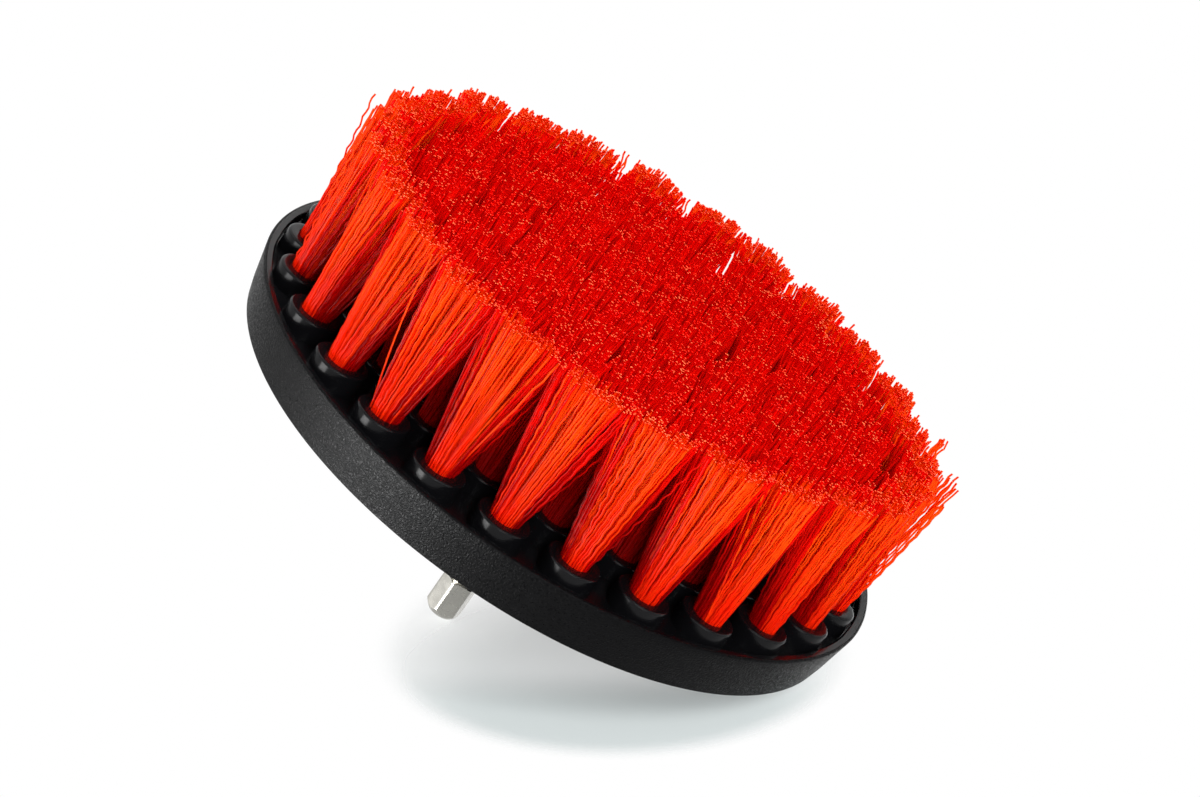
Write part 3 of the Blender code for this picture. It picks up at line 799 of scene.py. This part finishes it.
contact = toward_rest * BACK_RADIUS + Vector((0.0, 0.0, PLATE_BACK))
downhill = (contact - shank_rest).normalized()
nearer = downhill.cross(floor_up)
shade_centre = (contact + shank_rest) / 2.0 + nearer * SHADE_NEARER
shade_way = downhill * math.cos(SHADE_TURN) + nearer * math.sin(SHADE_TURN)
shade_axes = Matrix((shade_way, floor_up.cross(shade_way), floor_up)).transposed().to_4x4()
tilted_place = Matrix.Translation(shade_centre) @ shade_axes
studio_floor = floor_material("studio_floor", (0.65, 0.70, 0.70), SHADE_FADE, shaded_only=True)
make_floor("tilted_floor", tilted_place, studio_floor)
level_floor = floor_material("level_floor", (0.9, 0.91, 0.91), LEVEL_FADE)
make_floor("level_floor", Matrix.Translation((0.0, 0.0, LEVEL_HEIGHT)), level_floor)

# The camera stands about as the photograph's did: a long lens, half a metre off and a little
# above the tilted floor, upright on that floor.
CAMERA_PLACE = Vector((162.3, -521.7, -201.0)) * MM
CAMERA_AIM = Vector((-4.3, 7.8, 26.8)) * MM
LENS = 99.0
SENSOR = 36.0

camera_data = bpy.data.cameras.new("camera")
camera_data.lens = LENS
camera_data.sensor_width = SENSOR
camera_data.clip_end = 10.0
camera = bpy.data.objects.new("camera", camera_data)
bpy.context.scene.collection.objects.link(camera)
looking = (CAMERA_AIM - CAMERA_PLACE).normalized()
to_right = looking.cross(floor_up).normalized()
upwards = to_right.cross(looking)
camera.matrix_world = Matrix.Translation(CAMERA_PLACE) @ Matrix(
    (
        (to_right.x, upwards.x, -looking.x, 0.0),
        (to_right.y, upwards.y, -looking.y, 0.0),
        (to_right.z, upwards.z, -looking.z, 0.0),
        (0.0, 0.0, 0.0, 1.0),
    )
)
bpy.context.scene.camera = camera

# Studio light: soft boxes at the left, in front, above and, weakly, behind. A small strong one at
# the left shows only in gloss, as the glint on plastic and steel. The backdrop is white to look
# at, and gives a soft fill that is stronger from below, as off a white table.
BOX_DISTANCE = 0.9
FILL_TIPS_BACK = 0.5
FILL_SPAN = (-0.8, 0.8)
FILL_FROM_BELOW, FILL_FROM_ABOVE = 1.0, 0.35

away = (looking - floor_up * looking.dot(floor_up)).normalized()


def soft_box(name, way, size, strength, only_gloss=False):
    """A square lamp that faces the brush from a way given as (right, away from the camera, up)."""
    direction = (to_right * way[0] + away * way[1] + floor_up * way[2]).normalized()
    lamp = bpy.data.lights.new(name, "AREA")
    lamp.shape = "SQUARE"
    lamp.size = size
    lamp.energy = strength * (math.pi * BOX_DISTANCE) ** 2
    holder = bpy.data.objects.new(name, lamp)
    holder.visible_diffuse = not only_gloss
    bpy.context.scene.collection.objects.link(holder)
    holder.matrix_world = Matrix.Translation(CAMERA_AIM + direction * BOX_DISTANCE) @ (
        direction.to_track_quat("Z", "Y").to_matrix().to_4x4()
    )


soft_box("left_box", (-0.85, -0.5, 0.1), 0.45, 0.6)
soft_box("left_glint", (-0.88, -0.44, -0.08), 0.25, 5.0, only_gloss=True)
soft_box("front_box", (0.35, -0.88, 0.4), 0.45, 1.7)
soft_box("top_box", (-0.15, 0.4, 1.0), 0.5, 1.35)
soft_box("back_box", (0.15, 0.9, -0.35), 0.8, 0.2)

world = bpy.data.worlds.new("backdrop")
world.use_nodes = True
bpy.context.scene.world = world
world_nodes = world.node_tree.nodes
world_links = world.node_tree.links
background = world_nodes["Background"]
background.inputs["Color"].default_value = (1.0, 1.0, 1.0, 1.0)
world_coords = world_nodes.new("ShaderNodeTexCoord")
world_up = world_nodes.new("ShaderNodeVectorMath")
world_up.operation = "DOT_PRODUCT"
world_up.inputs[1].default_value = (floor_up - away * FILL_TIPS_BACK).normalized()
world_links.new(world_coords.outputs["Generated"], world_up.inputs[0])
world_fill = world_nodes.new("ShaderNodeMapRange")
world_fill.inputs["From Min"].default_value = FILL_SPAN[0]
world_fill.inputs["From Max"].default_value = FILL_SPAN[1]
world_fill.inputs["To Min"].default_value = FILL_FROM_BELOW
world_fill.inputs["To Max"].default_value = FILL_FROM_ABOVE
world_links.new(world_up.outputs["Value"], world_fill.inputs["Value"])
world_level = world_nodes.new("ShaderNodeMapRange")
world_level.inputs["To Max"].default_value = 1.0
world_links.new(looking_rays(world_nodes, world_links), world_level.inputs["Value"])
world_links.new(world_fill.outputs["Result"], world_level.inputs["To Min"])
world_links.new(world_level.outputs["Result"], background.inputs["Strength"])

bpy.context.scene.view_settings.view_transform = "Standard"
